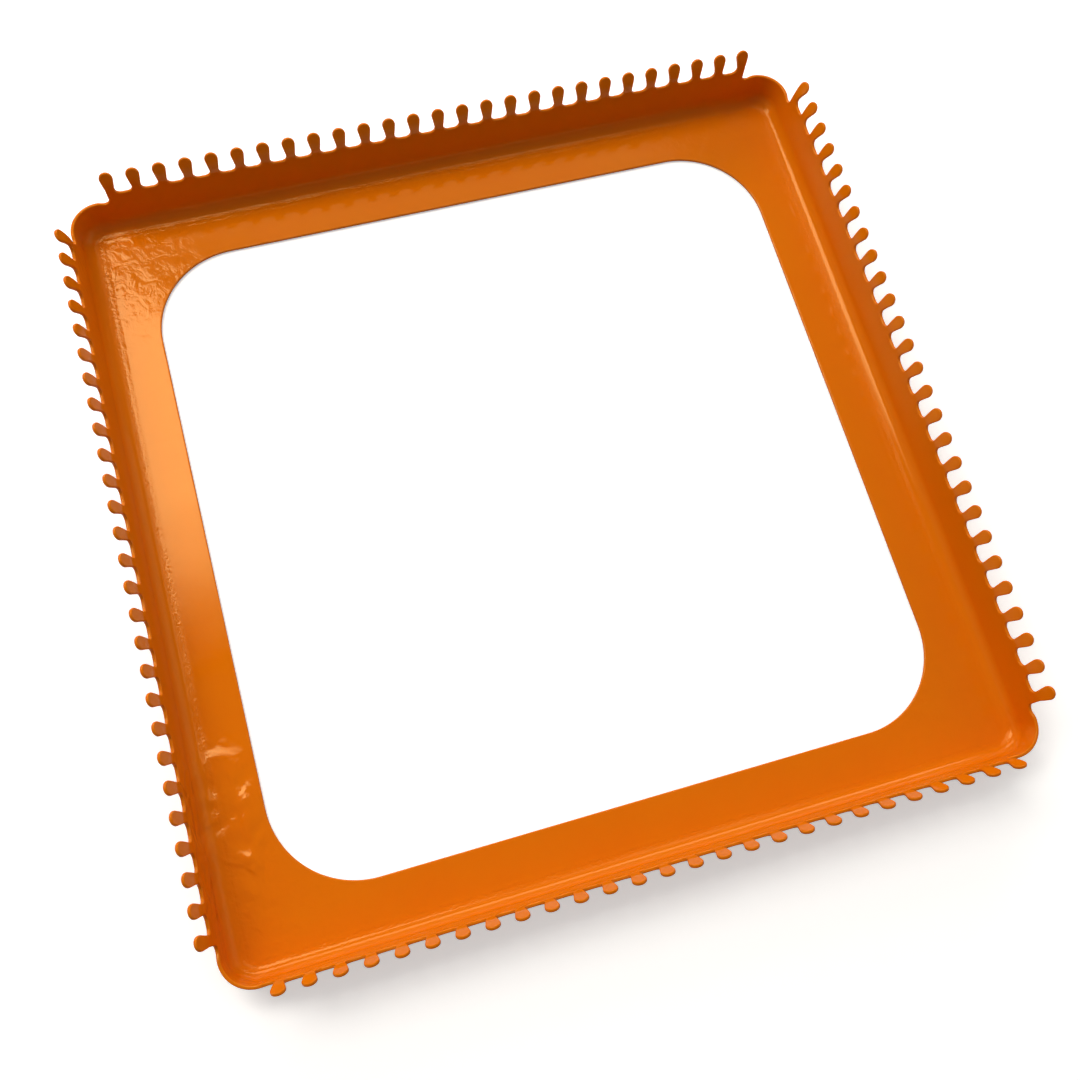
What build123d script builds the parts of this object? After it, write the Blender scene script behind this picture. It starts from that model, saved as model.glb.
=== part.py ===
from build123d import *
from math import asin, atan2, cos, degrees, hypot, radians, sin
import os

# Potholder loom: one pressed steel pan with an open floor and a row of flared pegs along each
# wall. Millimetres and degrees. The origin is under the middle of the floor, +Z is up, and -Y is
# the front. The nodes are the formed regions of the sheet, and neighbours meet face to face.

# Sheet, steel with its powder coat
sheet = 1.1
bend_radius = 4.6
wall_lean = 5.3
edge_round = 0.4

# Floor, the flat ring inside the bends
rail_width = 13.55
opening_corner_radius = 27.9

# Pegs, cut from the wall's upper edge
pegs_per_side = 27
peg_pitch = 8.467
peg_length = 8.3
neck_width = 3.1
head_width = 4.35
notch_height = 16.2
notch_radius = 1.8
root_height = 2.2

# Flare, the bend that tips the pegs outwards
peg_lean = 27.0
flare_radius = 11.2
flare_start = 0.9

# Corners of the rim, where the plain lip lies lower than the notches
end_land = 4.27
corner_radius = 9.75
end_notch_drop = 4.0
lip_drop = 3.4

# Overrun of every cutting shape past what it cuts
overrun = 2.0

row_half = (pegs_per_side - 1) / 2 * peg_pitch
neck_half = neck_width / 2
head_radius = head_width / 2

# The row of pegs sets the width: a land past the last neck ends at the corner's upright axis
corner_centre = row_half + neck_half + end_land

# Middle of the sheet's thickness at the notch line, out from the centre and up from the table
notch_out = corner_centre + corner_radius
notch_up = notch_height - sheet / 2 * sin(radians(wall_lean))

# Top edge of the bend on the inner face, and the straight wall from there to the notch line
bend_top = sheet + bend_radius * (1 - sin(radians(wall_lean)))
wall_rise = (notch_height - bend_top) / cos(radians(wall_lean))

# The floor reaches from the opening to the bends
mid_bend = bend_radius + sheet / 2
floor_half = notch_out - mid_bend * cos(radians(wall_lean)) - wall_rise * sin(radians(wall_lean))
opening_half = floor_half - rail_width
opening_straight = 2 * (opening_half - opening_corner_radius)

# The wall keeps the flare as far as the pegs' roots, just above the rounds of the notches
root_turn = degrees((root_height - flare_start) / flare_radius)
peg_turn = peg_lean - wall_lean - root_turn
peg_straight = peg_length - root_height - radians(peg_turn) * flare_radius


def face_plane(middle, lean):
    """Plane of the sheet where it leans by an angle: x runs along the wall and y up the sheet."""
    out = cos(radians(lean))
    down = sin(radians(lean))
    return Plane(origin=(middle.X, 0, middle.Y), x_dir=(0, 1, 0), z_dir=(out, 0, -down))


def draw_wall(bend_start, straight):
    """Draw the inner face from the floor's edge up the bend and the wall."""
    bend = JernArc(bend_start, (1, 0), bend_radius, 90 - wall_lean)
    return Line(bend @ 1, bend @ 1 + (bend % 1) * straight)


def broad_faces(faces, across):
    """The two sides of the sheet, among faces, by a direction through its thickness."""
    return faces.filter_by(lambda face: abs(face.normal_at().dot(across)) > cos(radians(60)))


# Every piece is drawn once, on the right or at the back right corner

# Floor rail, the flat strip between one straight edge of the opening and the bend
with BuildPart() as rail:
    with BuildSketch():
        with Locations((opening_half, 0)):
            Rectangle(floor_half - opening_half, opening_straight, align=(Align.MIN, Align.CENTER))
    extrude(amount=sheet)
    fillet(rail.faces().sort_by(Axis.X)[0].edges().filter_by(Axis.Y), edge_round)

# Floor corner, the flat plate that the opening's rounded corner is cut from
with BuildPart() as plate:
    with BuildSketch():
        arc_centre = opening_half - opening_corner_radius
        plate_width = floor_half - arc_centre
        with Locations((arc_centre, arc_centre)):
            square = Rectangle(plate_width, plate_width, align=(Align.MIN, Align.MIN))
        fillet(square.vertices().sort_by_distance((0, 0))[-1], floor_half - corner_centre)
        with Locations((arc_centre, arc_centre)):
            Circle(opening_corner_radius, mode=Mode.SUBTRACT)
    extrude(amount=sheet)
    opening_edge = plate.faces().filter_by(GeomType.CYLINDER).sort_by(Axis.X)[0]
    fillet(opening_edge.edges().filter_by(GeomType.CIRCLE), edge_round)

# Wall, with the bend at its foot and the land between the notches
with BuildPart() as wall:
    with BuildSketch(Plane.XZ):
        with BuildLine():
            inner = draw_wall((floor_half, sheet), wall_rise + flare_start)
            JernArc(inner @ 1, inner % 1, flare_radius + sheet / 2, -root_turn)
            offset(amount=sheet, side=Side.RIGHT)
        make_face()
    extrude(amount=corner_centre, both=True)

    # The notches between the pegs, and at each end the step down to the plain lip
    wall_plane = face_plane(Vector(notch_out, notch_up), wall_lean)
    with BuildSketch(wall_plane):
        with GridLocations(peg_pitch, 0, pegs_per_side - 1, 1):
            notch_width = peg_pitch - neck_width
            notch = Rectangle(notch_width, root_height + overrun, align=(Align.CENTER, Align.MIN))
            fillet(notch.vertices().group_by(Axis.Y)[0], notch_radius)
        with BuildLine():
            neck_side = row_half + neck_half
            top = root_height + overrun
            side = Line((neck_side, top), (neck_side, notch_radius - end_notch_drop))
            foot = JernArc(side @ 1, (0, -1), notch_radius, 90)
            rise = Spline(foot @ 1, (corner_centre, -lip_drop), tangents=[(1, 0), (1, 0)])
            end = corner_centre + overrun
            Polyline(rise @ 1, (end, -lip_drop), (end, top), (neck_side, top))
        mirror(make_face(), about=Plane.YZ)
    extrude(amount=sheet + overrun, both=True, mode=Mode.SUBTRACT)

    # The coat rounds the cut edge, all but where the wall meets the corners and the pegs
    faces = wall.faces()
    broad = broad_faces(faces, wall_plane.z_dir)
    ends = faces.sort_by(Axis.Y)[:1] + faces.sort_by(Axis.Y)[-1:]
    roots = faces.sort_by(Axis.Z)[-pegs_per_side:]
    fillet((faces - broad - ends - roots).edges() & broad.edges(), edge_round)

# Wall corner with its bend and its plain lip, drawn in one piece with the walls
with BuildPart() as corner:
    corner_plane = Plane(origin=(corner_centre, corner_centre, 0), x_dir=(1, 0, 0), z_dir=(0, -1, 0))
    with BuildSketch(corner_plane):
        with BuildLine():
            draw_wall((floor_half - corner_centre, sheet), wall_rise - lip_drop)
            offset(amount=sheet, side=Side.RIGHT)
        make_face()
    revolve(axis=Axis(corner_plane.origin, (0, 0, 1)), revolution_arc=90)
    fillet(corner.faces().sort_by(Axis.Z)[-1].edges().filter_by(GeomType.CIRCLE), edge_round)

# Peg, a tapered neck and a round head on the rest of the flare
with BuildPart() as peg:
    with BuildSketch(Plane.XZ):
        with BuildLine(mode=Mode.PRIVATE):
            inner = draw_wall((floor_half, sheet), wall_rise + flare_start)
            root = JernArc(inner @ 1, inner % 1, flare_radius + sheet / 2, -root_turn)
        with BuildLine():
            flare = JernArc(root @ 1, root % 1, flare_radius + sheet / 2, -peg_turn)
            Line(flare @ 1, flare @ 1 + (flare % 1) * (peg_straight + overrun))
            offset(amount=sheet, side=Side.RIGHT)
        make_face()
    extrude(amount=head_width, both=True)

    # The outline, drawn from the notch line, with the neck tangent to the notches and the head
    lean_up = Vector(sin(radians(peg_lean)), cos(radians(peg_lean)))
    lean_out = Vector(cos(radians(peg_lean)), -sin(radians(peg_lean)))
    middle = (flare @ 1) + lean_out * (sheet / 2) - lean_up * (peg_length - peg_straight)
    peg_plane = face_plane(middle, peg_lean)
    head_up = peg_length - head_radius
    round_out = neck_half + notch_radius
    to_head = hypot(round_out, head_up - root_height)
    taper = degrees(asin((head_radius + notch_radius) / to_head) - atan2(round_out, head_up - root_height))
    with BuildSketch(peg_plane):
        with BuildLine():
            foot = Line((0, -overrun), (neck_half, -overrun))
            side = Line(foot @ 1, (neck_half, root_height))
            hollow = JernArc(side @ 1, (0, 1), notch_radius, -taper)
            head = CenterArc((0, head_up), head_radius, -taper, 90 + taper)
            Line(hollow @ 1, head @ 0)
            Line(head @ 1, foot @ 0)
        mirror(make_face(), about=Plane.YZ)
    extrude(amount=peg_length, both=True, mode=Mode.INTERSECT)

    # The coat rounds the cut edge, all but at the root
    faces = peg.faces()
    broad = broad_faces(faces, peg_plane.z_dir)
    root_face = faces.sort_by(Axis.Z)[:1]
    fillet((faces - broad - root_face).edges() & broad.edges(), edge_round)

# Peg row, one side's pegs
with BuildPart() as peg_row:
    with Locations(*[(0, peg_pitch * turn - row_half, 0) for turn in range(pegs_per_side)]):
        add(peg.part)

# Turns anticlockwise about the upright axis that put a piece on each side and at each corner
sides = {"front": -90, "right": 0, "back": 90, "left": 180}
corners = {"front_right": -90, "back_right": 0, "back_left": 90, "front_left": 180}

os.makedirs("parts", exist_ok=True)


def save(piece, name, turn):
    """Turn a piece to its place, label it and write it."""
    with BuildPart() as placed:
        add(piece.part, rotation=(0, 0, turn))
    placed.part.label = name
    export_step(placed.part, f"parts/{name}.step")


for place, turn in sides.items():
    save(rail, f"floor_rail_{place}", turn)
    save(wall, f"wall_{place}", turn)
    save(peg_row, f"peg_row_{place}", turn)
for place, turn in corners.items():
    save(plate, f"floor_corner_{place}", turn)
    save(corner, f"wall_corner_{place}", turn)
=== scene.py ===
import math
import bpy
from mathutils import Matrix, Vector

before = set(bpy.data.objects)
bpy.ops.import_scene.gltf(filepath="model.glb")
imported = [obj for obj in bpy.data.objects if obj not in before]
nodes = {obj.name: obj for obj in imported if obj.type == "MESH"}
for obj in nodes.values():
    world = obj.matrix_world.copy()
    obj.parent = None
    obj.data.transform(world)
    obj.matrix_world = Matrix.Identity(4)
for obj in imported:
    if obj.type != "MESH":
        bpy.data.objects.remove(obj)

# Blender's own start-up cube, lamp and camera go, so that only the loom and its studio are left.
for name in ("Cube", "Light", "Camera"):
    if name in bpy.data.objects:
        bpy.data.objects.remove(bpy.data.objects[name])
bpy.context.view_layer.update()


# Camera, a phone held about 38 cm from the loom, looking down past its near left corner.
# Its place, its turn and its lens were fitted to the loom's outline.
camera_data = bpy.data.cameras.new("camera")
camera_data.sensor_width = 36
camera_data.lens = 38.663
camera_data.clip_start = 0.01
camera = bpy.data.objects.new("camera", camera_data)
bpy.context.scene.collection.objects.link(camera)
camera_right = Vector((0.957832, -0.275929, 0.080132))
camera_up = Vector((0.242735, 0.926297, 0.288188))
camera_back = Vector((-0.153746, -0.256586, 0.954215))
camera.matrix_world = Matrix.Translation((-0.061752, -0.114752, 0.356032)) @ Matrix(
    (camera_right, camera_up, camera_back)
).transposed().to_4x4()
bpy.context.scene.camera = camera
bpy.context.scene.view_settings.view_transform = "Standard"


# Studio floor, a wide sheet of white paper that curls up all round into a low backdrop.
# It looks white, but throws little light back up at the loom, as a matt paper under a tent would.
# It lies a hair under the loom, and it glows a little to the camera, so that it stays white.
floor_radius = 2.4
cove_radius = 0.5
cove_height = 1.3
cove_steps = 8
paper_gap = 0.0002
paper_white = 0.42


def mesh_object(name, points, faces, smooth=True):
    """Make a mesh object from points and faces in the row's frame."""
    mesh = bpy.data.meshes.new(name)
    mesh.from_pydata(points, [], faces)
    mesh.update()
    for face in mesh.polygons:
        face.use_smooth = smooth
    made = bpy.data.objects.new(name, mesh)
    bpy.context.scene.collection.objects.link(made)
    return made


def spun(name, profile, count):
    """Turn a profile of (radius, height) points about the upright axis; a zero radius closes it."""
    points = []
    faces = []
    for radius, height in profile:
        for step in range(count):
            angle = math.tau * step / count
            points.append((radius * math.cos(angle), radius * math.sin(angle), height))
    for ring in range(len(profile) - 1):
        for step in range(count):
            after = (step + 1) % count
            low = ring * count
            faces.append((low + step, low + count + step, low + count + after, low + after))
    return mesh_object(name, points, faces)


paper_profile = [(0, -paper_gap), (floor_radius / 4, -paper_gap), (floor_radius, -paper_gap)]
for step in range(1, cove_steps + 1):
    angle = math.radians(step * 90 / cove_steps)
    paper_profile.append(
        (floor_radius + cove_radius * math.sin(angle), cove_radius * (1 - math.cos(angle)))
    )
paper_profile.append((floor_radius + cove_radius, cove_height))
paper = spun("paper", paper_profile, 96)

paper_material = bpy.data.materials.new("matt_paper")
paper_material.use_nodes = True
paper.data.materials.append(paper_material)
tree = paper_material.node_tree
paper_shader = tree.nodes["Principled BSDF"]
paper_shader.inputs["Roughness"].default_value = 0.9
paper_shader.inputs["Specular IOR Level"].default_value = 0
ray = tree.nodes.new("ShaderNodeLightPath")
seen = tree.nodes.new("ShaderNodeMath")
seen.operation = "ADD"
seen.use_clamp = True
seen_too = tree.nodes.new("ShaderNodeMath")
seen_too.operation = "ADD"
seen_too.use_clamp = True
paper_colour = tree.nodes.new("ShaderNodeMix")
paper_colour.data_type = "RGBA"
paper_colour.inputs["A"].default_value = (0.30, 0.29, 0.28, 1)
paper_colour.inputs["B"].default_value = (0.97, 0.97, 0.97, 1)
tree.links.new(ray.outputs["Is Camera Ray"], seen.inputs[0])
tree.links.new(ray.outputs["Is Glossy Ray"], seen.inputs[1])
tree.links.new(seen.outputs[0], seen_too.inputs[0])
tree.links.new(ray.outputs["Is Transmission Ray"], seen_too.inputs[1])
tree.links.new(seen_too.outputs[0], paper_colour.inputs["Factor"])
tree.links.new(paper_colour.outputs["Result"], paper_shader.inputs["Base Color"])
glow = tree.nodes.new("ShaderNodeMath")
glow.operation = "MULTIPLY"
glow.inputs[1].default_value = paper_white
tree.links.new(ray.outputs["Is Camera Ray"], glow.inputs[0])
tree.links.new(glow.outputs[0], paper_shader.inputs["Emission Strength"])

# From below the paper lets the view through, so that the loom's underside can be looked at
under = tree.nodes.new("ShaderNodeNewGeometry")
clear = tree.nodes.new("ShaderNodeMath")
clear.operation = "MULTIPLY"
tree.links.new(under.outputs["Backfacing"], clear.inputs[0])
tree.links.new(ray.outputs["Is Camera Ray"], clear.inputs[1])
opaque = tree.nodes.new("ShaderNodeMath")
opaque.operation = "SUBTRACT"
opaque.inputs[0].default_value = 1
tree.links.new(clear.outputs[0], opaque.inputs[1])
tree.links.new(opaque.outputs[0], paper_shader.inputs["Alpha"])

# Studio light, soft boxes of white cloth over lamps, and a dim room round them.
# The largest hangs behind and left of the loom, high up, and its far edge fades.
world = bpy.data.worlds.new("room")
bpy.context.scene.world = world
world.use_nodes = True
world.node_tree.nodes["Background"].inputs["Color"].default_value = (1.0, 0.97, 0.93, 1)
world.node_tree.nodes["Background"].inputs["Strength"].default_value = 0.22


def soft_box(name, outline, strength, fade):
    """A cloth of light with its outline in the row's frame; fade is the share of its depth that dims."""
    made = mesh_object(name, outline, [tuple(range(len(outline)))])
    cloth = bpy.data.materials.new(name)
    cloth.use_nodes = True
    made.data.materials.append(cloth)
    cloth.node_tree.nodes.clear()
    output = cloth.node_tree.nodes.new("ShaderNodeOutputMaterial")
    glow = cloth.node_tree.nodes.new("ShaderNodeEmission")
    place = cloth.node_tree.nodes.new("ShaderNodeTexCoord")
    apart = cloth.node_tree.nodes.new("ShaderNodeSeparateXYZ")
    ramp = cloth.node_tree.nodes.new("ShaderNodeMapRange")
    ramp.interpolation_type = "SMOOTHSTEP"
    ramp.inputs["From Min"].default_value = 0
    ramp.inputs["From Max"].default_value = max(fade, 0.001)
    ramp.inputs["To Min"].default_value = 0
    ramp.inputs["To Max"].default_value = strength
    glow.inputs["Color"].default_value = (1.0, 0.96, 0.9, 1)
    cloth.node_tree.links.new(place.outputs["Generated"], apart.inputs[0])
    cloth.node_tree.links.new(apart.outputs["Y"], ramp.inputs["Value"])
    cloth.node_tree.links.new(ramp.outputs["Result"], glow.inputs["Strength"])
    cloth.node_tree.links.new(glow.outputs["Emission"], output.inputs["Surface"])


high_box = [(-1.1, 0.24, 1.2), (0.14, 0.24, 1.2), (-0.36, 0.96, 1.2), (-1.1, 0.96, 1.2)]
side_box = [(0.16, 0.2, 1.2), (0.45, 0.2, 1.2), (0.45, 0.66, 1.2), (0.02, 0.66, 1.2)]
far_box = [(0.2, 0.78, 1.2), (0.55, 0.78, 1.2), (0.55, 1.15, 1.2), (-0.24, 1.15, 1.2), (-0.24, 0.86, 1.2)]
back_box = [(-0.9, 1.5, 0.45), (1.1, 1.5, 0.45), (1.1, 1.4, 0.85), (-0.9, 1.4, 0.85)]
left_box = [(-1.4, -0.8, 0.5), (-1.4, 0.8, 0.5), (-1.25, 0.8, 0.85), (-1.25, -0.8, 0.85)]
right_box = [(1.6, -0.8, 0.1), (1.6, 0.8, 0.1), (1.3, 0.8, 1.1), (1.3, -0.8, 1.1)]
front_box = [(-0.7, -1.5, 0.8), (0.8, -1.5, 0.8), (0.8, -1.4, 1.0), (-0.7, -1.4, 1.0)]
soft_box("high_box", high_box, 8.1, 0.38)
soft_box("side_box", side_box, 2.0, 0)
soft_box("far_box", far_box, 0.9, 0)
soft_box("back_box", back_box, 5.0, 0)
soft_box("left_box", left_box, 0.65, 0)
soft_box("right_box", right_box, 0.8, 0)
soft_box("front_box", front_box, 0.4, 0)


# Floor rails, the flat strips of the pressed sheet between the opening and the bends.
# Steel under a glossy orange powder coat, baked on, with a fine orange peel and faint long waves
# that the press left in the sheet.
def value_group(name, inputs, outputs):
    """Start a shader node group with named values in and out."""
    group = bpy.data.node_groups.new(name, "ShaderNodeTree")
    for socket, kind, start in inputs:
        made = group.interface.new_socket(socket, in_out="INPUT", socket_type=kind)
        made.default_value = start
    for socket, kind in outputs:
        group.interface.new_socket(socket, in_out="OUTPUT", socket_type=kind)
    enter = group.nodes.new("NodeGroupInput")
    leave = group.nodes.new("NodeGroupOutput")
    return group, enter, leave


def maths(tree, operation, *terms, clamp=False):
    """One Math node; a term is a socket or a number."""
    node = tree.nodes.new("ShaderNodeMath")
    node.operation = operation
    node.use_clamp = clamp
    for slot, term in zip(node.inputs, terms):
        if isinstance(term, (int, float)):
            slot.default_value = term
        else:
            tree.links.new(term, slot)
    return node.outputs[0]


def noise(tree, place, scale, detail=2.0, roughness=0.5, distortion=0.0):
    """One Noise Texture node over a place; a scale is a socket or a number."""
    node = tree.nodes.new("ShaderNodeTexNoise")
    node.inputs["Detail"].default_value = detail
    node.inputs["Roughness"].default_value = roughness
    node.inputs["Distortion"].default_value = distortion
    tree.links.new(place, node.inputs["Vector"])
    if isinstance(scale, (int, float)):
        node.inputs["Scale"].default_value = scale
    else:
        tree.links.new(scale, node.inputs["Scale"])
    return node.outputs["Fac"]


def smooth_step(tree, value, zero, one):
    """0 where a value is at zero, 1 where it is at one, and a smooth step between them."""
    node = tree.nodes.new("ShaderNodeMapRange")
    node.interpolation_type = "SMOOTHSTEP"
    node.inputs["From Min"].default_value = zero
    node.inputs["From Max"].default_value = one
    tree.links.new(value, node.inputs["Value"])
    return node.outputs["Result"]


def distance(tree, value, middle):
    """How far a value is from a middle."""
    return maths(tree, "ABSOLUTE", maths(tree, "SUBTRACT", value, middle))


# Relief of the coat: orange peel, the sheet's long waves, the draw ripples at its corners, and the
# unevenness along the line where the punch's edge began to bend the sheet
relief, enter, leave = value_group(
    "coat_relief",
    [
        ("Peel Size", "NodeSocketFloat", 0.0016),
        ("Peel Depth", "NodeSocketFloat", 0.000004),
        ("Wave Size", "NodeSocketFloat", 0.03),
        ("Wave Depth", "NodeSocketFloat", 0.0001),
        ("Ripple Size", "NodeSocketFloat", 0.0045),
        ("Ripple Depth", "NodeSocketFloat", 0.00002),
        ("Bend Line", "NodeSocketFloat", 0.1195),
        ("Bend Depth", "NodeSocketFloat", 0.00013),
        ("Nib Depth", "NodeSocketFloat", 0.00003),
        ("Drag Place", "NodeSocketFloat", -0.082),
        ("Drag Depth", "NodeSocketFloat", 0.0017),
        ("Crease Place", "NodeSocketFloat", 0.043),
        ("Crease Depth", "NodeSocketFloat", 0.0),
    ],
    [("Height", "NodeSocketFloat")],
)
place = relief.nodes.new("ShaderNodeTexCoord").outputs["Object"]
apart = relief.nodes.new("ShaderNodeSeparateXYZ")
relief.links.new(place, apart.inputs[0])
across = maths(relief, "ABSOLUTE", apart.outputs["X"])
along = maths(relief, "ABSOLUTE", apart.outputs["Y"])
nearest = maths(relief, "MINIMUM", across, along)
corner = smooth_step(relief, nearest, 0.05, 0.115)
peel = noise(relief, place, maths(relief, "DIVIDE", 1, enter.outputs["Peel Size"]), 1.0)
wave = noise(relief, place, maths(relief, "DIVIDE", 1, enter.outputs["Wave Size"]), 0.5)
ripple = noise(relief, place, maths(relief, "DIVIDE", 1, enter.outputs["Ripple Size"]), 3.0, 0.62, 0.8)
height = maths(relief, "MULTIPLY", peel, enter.outputs["Peel Depth"])
height = maths(relief, "MULTIPLY_ADD", wave, enter.outputs["Wave Depth"], height)
ripple_share = maths(relief, "MULTIPLY", corner, enter.outputs["Ripple Depth"])
height = maths(relief, "MULTIPLY_ADD", ripple, ripple_share, height)

# Dents along the line of the bend, a millimetre long, that die out within two millimetres
furthest = maths(relief, "MAXIMUM", across, along)
near_line = smooth_step(relief, distance(relief, furthest, enter.outputs["Bend Line"]), 0.002, 0.0004)
dents = noise(relief, place, 900, 2.0, 0.6)
dent_share = maths(relief, "MULTIPLY", near_line, enter.outputs["Bend Depth"])
height = maths(relief, "MULTIPLY_ADD", dents, dent_share, height)

# Nibs of dust under the coat
spots = relief.nodes.new("ShaderNodeTexVoronoi")
spots.inputs["Scale"].default_value = 40
relief.links.new(place, spots.inputs["Vector"])
nib = relief.nodes.new("ShaderNodeMapRange")
nib.inputs["From Min"].default_value = 0.016
nib.inputs["From Max"].default_value = 0.006
relief.links.new(spots.outputs["Distance"], nib.inputs["Value"])
height = maths(relief, "MULTIPLY_ADD", nib.outputs["Result"], enter.outputs["Nib Depth"], height)

# Shallow dents at the near end of the left rail, where the sheet dragged as it was drawn
left_rail = smooth_step(relief, apart.outputs["X"], -0.103, -0.113)
from_drag = distance(relief, apart.outputs["Y"], enter.outputs["Drag Place"])
near_drag = smooth_step(relief, from_drag, 0.034, 0.010)
drag = noise(relief, place, 110, 1.6, 0.45, 0.5)
drag_share = maths(relief, "MULTIPLY", left_rail, near_drag)
drag_share = maths(relief, "MULTIPLY", drag_share, enter.outputs["Drag Depth"])
height = maths(relief, "MULTIPLY_ADD", drag, drag_share, height)

# A fine crease straight across the left rail, a scratch in the blank that the coat has filled
from_crease = distance(relief, apart.outputs["Y"], enter.outputs["Crease Place"])
crease = smooth_step(relief, from_crease, 0.0004, 0)
crease_share = maths(relief, "MULTIPLY", left_rail, enter.outputs["Crease Depth"])
height = maths(relief, "MULTIPLY_ADD", crease, crease_share, height)
relief.links.new(height, leave.inputs["Height"])

# Colour of the coat: cloudy where it lies thicker, with a few dark specks of dust baked in
tint, enter, leave = value_group(
    "coat_tint",
    [
        ("Thin Colour", "NodeSocketColor", (0.7, 0.15, 0.002, 1)),
        ("Thick Colour", "NodeSocketColor", (0.72, 0.14, 0.002, 1)),
        ("Speck Colour", "NodeSocketColor", (0.2, 0.03, 0.0, 1)),
        ("Cloud Size", "NodeSocketFloat", 0.02),
        ("Speck Size", "NodeSocketFloat", 0.018),
    ],
    [("Color", "NodeSocketColor"), ("Speck", "NodeSocketFloat")],
)
place = tint.nodes.new("ShaderNodeTexCoord").outputs["Object"]
cloud = noise(tint, place, maths(tint, "DIVIDE", 1, enter.outputs["Cloud Size"]), 3.0, 0.6)
grain = noise(tint, place, 2600, 1.0)
cloudy = maths(tint, "MULTIPLY_ADD", maths(tint, "SUBTRACT", grain, 0.5), 0.35, cloud)
blend = tint.nodes.new("ShaderNodeMix")
blend.data_type = "RGBA"
tint.links.new(cloudy, blend.inputs["Factor"])
tint.links.new(enter.outputs["Thin Colour"], blend.inputs["A"])
tint.links.new(enter.outputs["Thick Colour"], blend.inputs["B"])
spots = tint.nodes.new("ShaderNodeTexVoronoi")
spots.inputs["Scale"].default_value = 75
tint.links.new(place, spots.inputs["Vector"])
lot = tint.nodes.new("ShaderNodeSeparateColor")
tint.links.new(spots.outputs["Color"], lot.inputs["Color"])
chosen = maths(tint, "LESS_THAN", lot.outputs["Red"], 0.22)
dot = tint.nodes.new("ShaderNodeMapRange")
dot.inputs["From Min"].default_value = 0
dot.inputs["To Min"].default_value = 1
dot.inputs["To Max"].default_value = 0
tint.links.new(enter.outputs["Speck Size"], dot.inputs["From Max"])
tint.links.new(spots.outputs["Distance"], dot.inputs["Value"])
speck = maths(tint, "MULTIPLY", maths(tint, "MULTIPLY", dot.outputs["Result"], chosen), 0.8)
dusty = tint.nodes.new("ShaderNodeMix")
dusty.data_type = "RGBA"
tint.links.new(speck, dusty.inputs["Factor"])
tint.links.new(blend.outputs["Result"], dusty.inputs["A"])
tint.links.new(enter.outputs["Speck Colour"], dusty.inputs["B"])
tint.links.new(dusty.outputs["Result"], leave.inputs["Color"])
tint.links.new(speck, leave.inputs["Speck"])


def powder_coat(name, roughness, shine, **relief_values):
    """A glossy powder coat; shine is its specular level, and the rest are values of the relief."""
    made = bpy.data.materials.new(name)
    made.use_nodes = True
    tree = made.node_tree
    shader = tree.nodes["Principled BSDF"]
    shader.inputs["IOR"].default_value = 1.5
    shader.inputs["Specular IOR Level"].default_value = shine
    shader.inputs["Specular Tint"].default_value = (1.0, 0.70, 0.28, 1)
    coloured = tree.nodes.new("ShaderNodeGroup")
    coloured.node_tree = tint
    coloured.inputs["Thin Colour"].default_value = (*thin_orange, 1)
    coloured.inputs["Thick Colour"].default_value = (*thick_orange, 1)
    raised = tree.nodes.new("ShaderNodeGroup")
    raised.node_tree = relief
    for socket, value in relief_values.items():
        raised.inputs[socket.replace("_", " ").title()].default_value = value
    bump = tree.nodes.new("ShaderNodeBump")
    bump.inputs["Strength"].default_value = 1
    bump.inputs["Distance"].default_value = 1
    tree.links.new(raised.outputs["Height"], bump.inputs["Height"])
    tree.links.new(bump.outputs["Normal"], shader.inputs["Normal"])
    tree.links.new(coloured.outputs["Color"], shader.inputs["Base Color"])
    rough = maths(tree, "MULTIPLY_ADD", coloured.outputs["Speck"], 0.3, roughness)
    tree.links.new(rough, shader.inputs["Roughness"])
    return made


def dress(node, coat):
    """Give a node of the frame its finish."""
    piece = nodes[node]
    piece.data.materials.clear()
    piece.data.materials.append(coat)


thin_orange = (0.80, 0.195, 0.001)
thick_orange = (0.80, 0.168, 0.001)
floor_coat = powder_coat(
    "coat_on_the_floor",
    roughness=0.05,
    shine=0.5,
    peel_depth=0.000012,
    wave_depth=0.0003,
    ripple_depth=0.00021,
    crease_depth=0.00001,
)
for side in ("front", "right", "back", "left"):
    dress(f"floor_rail_{side}", floor_coat)


# Floor corners, the flat plates round the opening's rounded corners, part of the same sheet.
# The draw gathers metal here, so short ripples run across them under the coat.
for corner_name in ("front_right", "back_right", "back_left", "front_left"):
    dress(f"floor_corner_{corner_name}", floor_coat)


# Walls, the upturned sides with the bend at their foot and the scalloped notch line on top.
# The punch drags the sheet over its edge, which leaves drawn-out waves along the bends.
wall_coat = powder_coat(
    "coat_on_the_walls",
    roughness=0.055,
    shine=0.4,
    peel_depth=0.000012,
    wave_depth=0.0003,
    ripple_depth=0.00016,
)
for side in ("front", "right", "back", "left"):
    dress(f"wall_{side}", wall_coat)


# Wall corners, drawn round in the press, with a plain low lip and no pegs.
for corner_name in ("front_right", "back_right", "back_left", "front_left"):
    dress(f"wall_corner_{corner_name}", wall_coat)


# Peg rows, each peg cut with its neighbours in one stroke and flared outwards in the next.
# The coat creeps round their cut edges and lies a little thinner there; the coat here is the same at the
# edges as elsewhere, with a finer peel and less shine than on the floor.
peg_coat = powder_coat(
    "coat_on_the_pegs",
    roughness=0.07,
    shine=0.3,
    peel_depth=0.000003,
    wave_depth=0.00005,
    ripple_depth=0.0,
    bend_depth=0.0,
    drag_depth=0.0,
)
for side in ("front", "right", "back", "left"):
    dress(f"peg_row_{side}", peg_coat)
